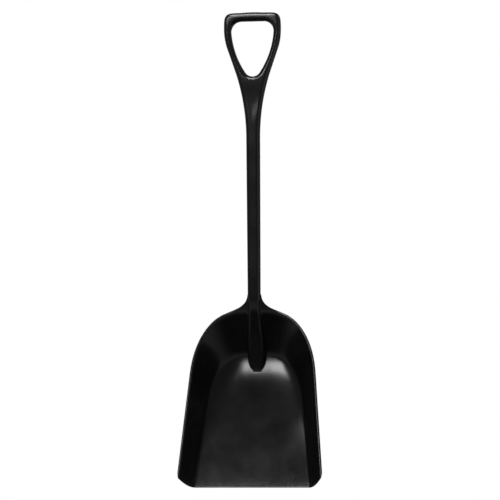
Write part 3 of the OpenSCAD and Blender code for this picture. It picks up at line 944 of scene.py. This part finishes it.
def ranged(tree, value, low, high, to_low, to_high):
    """The value mapped from low..high to to_low..to_high, and held at those ends."""
    ranger = tree.nodes.new("ShaderNodeMapRange")
    for key, number in (("From Min", low), ("From Max", high), ("To Min", to_low), ("To Max", to_high)):
        ranger.inputs[key].default_value = number
    tree.links.new(value, ranger.inputs["Value"])
    return ranger.outputs["Result"]


def maths(tree, operation, a, b):
    """The result of an operation on two sockets, or on a socket and a number."""
    math_node = tree.nodes.new("ShaderNodeMath")
    math_node.operation = operation
    for socket, value in zip(math_node.inputs, (a, b)):
        if isinstance(value, (int, float)):
            socket.default_value = value
        else:
            tree.links.new(value, socket)
    return math_node.outputs["Value"]


def scuffs_and_wear(tree, place, clouds):
    """How marked the surface is, from 0 to 1: faint streaks in places, and rubbed edges."""
    wear = tree.nodes.new("ShaderNodeAttribute")
    wear.attribute_name = "wear"
    streaks = noise(tree, stretched(tree, place, STREAK_STRETCH), scale=1, detail=4, rough=0.6)
    streaks = ranged(tree, streaks, low=0.62, high=0.72, to_low=0, to_high=SCUFFS)
    where = ranged(tree, clouds, low=0.4, high=0.65, to_low=0, to_high=1)
    rubs = noise(tree, place, scale=260, detail=4, rough=0.65)
    rubs = ranged(tree, rubs, low=0.42, high=0.62, to_low=0.15, to_high=1)
    scratched = maths(tree, "MULTIPLY", streaks, where)
    rubbed = maths(tree, "MULTIPLY", wear.outputs["Fac"], rubs)
    return maths(tree, "MAXIMUM", scratched, rubbed)


def tint_shader(tree, shader, clouds, marks):
    colour = tree.nodes.new("ShaderNodeMix")
    colour.data_type = "RGBA"
    colour.inputs["A"].default_value = BLACK
    colour.inputs["B"].default_value = RUBBED_GREY
    cloudy = ranged(tree, clouds, low=0.3, high=0.7, to_low=0, to_high=CLOUD_TINT)
    tint = maths(tree, "ADD", cloudy, maths(tree, "MULTIPLY", marks, MARK_TINT))
    tree.links.new(tint, colour.inputs["Factor"])
    tree.links.new(colour.outputs["Result"], shader.inputs["Base Color"])


def roughen_shader(tree, shader, clouds, marks, grain, roughness):
    rough = ranged(tree, clouds, low=0.3, high=0.7, to_low=roughness - 0.02, to_high=roughness + 0.03)
    rough = maths(tree, "ADD", rough, maths(tree, "MULTIPLY", marks, MARK_ROUGHNESS))
    fine = ranged(tree, grain, low=0.3, high=0.7, to_low=-GRAIN_ROUGHNESS, to_high=GRAIN_ROUGHNESS)
    tree.links.new(maths(tree, "ADD", rough, fine), shader.inputs["Roughness"])


def bump_shader(tree, shader, flow, marks, grain):
    height = maths(tree, "MULTIPLY", grain, GRAIN_HEIGHT)
    height = maths(tree, "ADD", height, maths(tree, "MULTIPLY", flow, FLOW_HEIGHT))
    height = maths(tree, "SUBTRACT", height, maths(tree, "MULTIPLY", marks, MARK_DEPTH))
    bump = tree.nodes.new("ShaderNodeBump")
    bump.inputs["Strength"].default_value = 1
    bump.inputs["Distance"].default_value = 1
    tree.links.new(height, bump.inputs["Height"])
    tree.links.new(bump.outputs["Normal"], shader.inputs["Normal"])


def polypropylene(name, roughness):
    """Black moulded polypropylene with fine grain, slow unevenness, faint scuffs and worn edges."""
    material = bpy.data.materials.new(name)
    material.use_nodes = True
    tree = material.node_tree
    shader = tree.nodes["Principled BSDF"]
    shader.inputs["IOR"].default_value = PLASTIC_IOR
    place = tree.nodes.new("ShaderNodeTexCoord").outputs["Object"]
    clouds = noise(tree, place, scale=16, detail=3)
    grain = noise(tree, place, scale=1500, detail=2)
    flow = noise(tree, stretched(tree, place, FLOW_STRETCH), scale=1, detail=2)
    marks = scuffs_and_wear(tree, place, clouds)
    tint_shader(tree, shader, clouds, marks)
    roughen_shader(tree, shader, clouds, marks, grain, roughness)
    bump_shader(tree, shader, flow, marks, grain)
    return material


# ---- the pieces ----
# Piece name: (CAD node it stands for, material, extra wear)
PIECES = {
    "pan_shell": ("pan", "pan", 0.0),
    "front_lip_edge": ("front_lip", "pan", 0.05),
    "rim_bead_left_roll": ("rim_bead_left", "rim", 0.12),
    "rim_bead_right_roll": ("rim_bead_right", "rim", 0.12),
    "inner_ridge_skin": ("inner_ridge", "pan", 0.0),
    "back_spine_skin": ("back_spine", "pan", 0.05),
    "shaft_tube": ("shaft", "handle", 0.0),
    "grip_yoke_body": ("grip_yoke", "handle", 0.0),
    "grip_arm_left_bow": ("grip_arm_left", "handle", 0.0),
    "grip_arm_right_bow": ("grip_arm_right", "handle", 0.0),
    "hand_bar_grip": ("hand_bar", "handle", 0.0),
}


def build_shapes():
    build_pan()
    build_lip()
    build_beads()
    build_ridge()
    build_spine()
    build_shaft()
    build_yoke()
    build_arms()
    build_bar()


def build_pieces():
    build_shapes()
    shapes = {name: faces_of(name) for name in PIECES}
    total, own = shared_normals(shapes)
    materials = {
        "pan": polypropylene("black_polypropylene_pan", roughness=0.15),
        "rim": polypropylene("black_polypropylene_rim", roughness=0.185),
        "handle": polypropylene("black_polypropylene_handle", roughness=0.185),
    }
    for name, (cad_node, finish, extra_wear) in PIECES.items():
        normals = loop_normals(shapes[name], total, own[name])
        obj = make_object(name, shapes[name], normals, extra_wear)
        obj.data.materials.append(materials[finish])
        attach(obj, "root")
        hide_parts(cad_node)


# ---- studio ----
# The world's light against the height of its direction, from 0 straight down to 1 straight up: a dim band
# under the horizon, and less above it.
WORLD_LIGHT = ((0.0, 0.0), (0.17, 0.0), (0.34, 0.28), (0.48, 0.12), (0.8, 0.08), (1.0, 0.15))


def pale(name, colour, roughness, glow):
    material = bpy.data.materials.new(name)
    material.use_nodes = True
    shader = material.node_tree.nodes["Principled BSDF"]
    shader.inputs["Base Color"].default_value = (*colour, 1)
    shader.inputs["Roughness"].default_value = roughness
    shader.inputs["Emission Color"].default_value = (*colour, 1)
    shader.inputs["Emission Strength"].default_value = glow
    return material


def build_floor():
    """A pale disc below the pan. The photographed plastic shows no such floor, so glossy rays miss it."""
    drop = 0.3
    radius = 4.0
    sides = 96
    z = CAD_BOX[LOW][Z] - drop
    turns = np.linspace(0, 2 * math.pi, sides + 1)[:-1]
    ring = [(radius * math.cos(turn), radius * math.sin(turn), z) for turn in turns]
    mesh = bpy.data.meshes.new("studio_floor")
    mesh.from_pydata(ring, [], [list(range(sides))])
    mesh.materials.append(pale("studio_floor_white", colour=(0.82, 0.82, 0.82), roughness=0.7, glow=0.75))
    floor = bpy.data.objects.new("studio_floor", mesh)
    floor.visible_glossy = False
    bpy.context.scene.collection.objects.link(floor)


def light_ramp(tree):
    """A colour ramp with the stops of the world's light."""
    ramp = tree.nodes.new("ShaderNodeValToRGB")
    ramp.color_ramp.interpolation = "EASE"
    elements = ramp.color_ramp.elements
    for at, _ in WORLD_LIGHT[1:-1]:
        elements.new(at)
    for element, (_, level) in zip(elements, WORLD_LIGHT):
        element.color = (level, level, level, 1)
    return ramp


def build_world():
    """White to the camera, and dim as light."""
    world = bpy.data.worlds.new("studio")
    bpy.context.scene.world = world
    world.use_nodes = True
    tree = world.node_tree
    tree.nodes.clear()
    direction = tree.nodes.new("ShaderNodeTexCoord").outputs["Generated"]
    split = tree.nodes.new("ShaderNodeSeparateXYZ")
    tree.links.new(direction, split.inputs["Vector"])
    ramp = light_ramp(tree)
    height = ranged(tree, split.outputs["Z"], low=-1, high=1, to_low=0, to_high=1)
    tree.links.new(height, ramp.inputs["Fac"])
    camera_ray = tree.nodes.new("ShaderNodeLightPath").outputs["Is Camera Ray"]
    glow = tree.nodes.new("ShaderNodeBackground")
    glow.inputs["Color"].default_value = (1, 1, 1, 1)
    tree.links.new(maths(tree, "MAXIMUM", ramp.outputs["Color"], camera_ray), glow.inputs["Strength"])
    out = tree.nodes.new("ShaderNodeOutputWorld")
    tree.links.new(glow.outputs["Background"], out.inputs["Surface"])


def softbox(name, place, target, size, glow, roll=0.0):
    """A rectangular light of an even glow, turned about its own line of sight by roll degrees."""
    width, height = size
    light = bpy.data.lights.new(name, "AREA")
    light.shape = "RECTANGLE"
    light.size = width
    light.size_y = height
    light.energy = glow * math.pi * width * height
    obj = bpy.data.objects.new(name, light)
    look = (Vector(target) - Vector(place)).to_track_quat("-Z", "Y").to_matrix().to_4x4()
    obj.matrix_world = Matrix.Translation(place) @ look @ Matrix.Rotation(math.radians(roll), 4, "Z")
    bpy.context.scene.collection.objects.link(obj)


def build_lights():
    """A key light for the pan from the front left, weak ones beside and behind, and one for the grip."""
    up_the_pan = 0.3
    pan = (0, 0, CAD_BOX[LOW][Z] + up_the_pan)
    grip = (0, 0, CAD_BOX[HIGH][Z])
    softbox("key_softbox", place=(-1.25, -4.45, 1.28), target=pan, size=(1.5, 0.8), glow=12.0, roll=12)
    softbox("side_softbox", place=(2.0, 0.1, 0.2), target=pan, size=(1.2, 2.4), glow=0.3)
    softbox("back_softbox", place=(0.2, 2.1, 0.6), target=pan, size=(1.4, 1.0), glow=1.5)
    softbox("top_softbox", place=(-0.08, -0.62, 0.76), target=grip, size=(0.6, 0.42), glow=17.0)


def build_camera():
    """A long lens, a little to the right of the front and a little below the middle."""
    azimuth = math.radians(7.9)
    elevation = math.radians(-2.8)
    roll = math.radians(-0.36)
    distance = 5.66
    target = Vector((0, 0, (CAD_BOX[LOW][Z] + CAD_BOX[HIGH][Z]) / 2))
    away = Vector((
        math.sin(azimuth) * math.cos(elevation),
        -math.cos(azimuth) * math.cos(elevation),
        math.sin(elevation),
    ))
    camera = bpy.data.cameras.new("photo_camera")
    camera.sensor_width = 36
    camera.lens = 180.8
    camera.shift_x = -0.0078
    camera.shift_y = -0.0032
    camera.clip_end = 50
    obj = bpy.data.objects.new("photo_camera", camera)
    turned = (-away).to_track_quat("-Z", "Y").to_matrix().to_4x4()
    obj.matrix_world = Matrix.Translation(target + distance * away) @ turned @ Matrix.Rotation(roll, 4, "Z")
    bpy.context.scene.collection.objects.link(obj)
    bpy.context.scene.camera = obj


build_pieces()
build_floor()
build_world()
build_lights()
build_camera()
bpy.context.scene.view_settings.view_transform = "Standard"
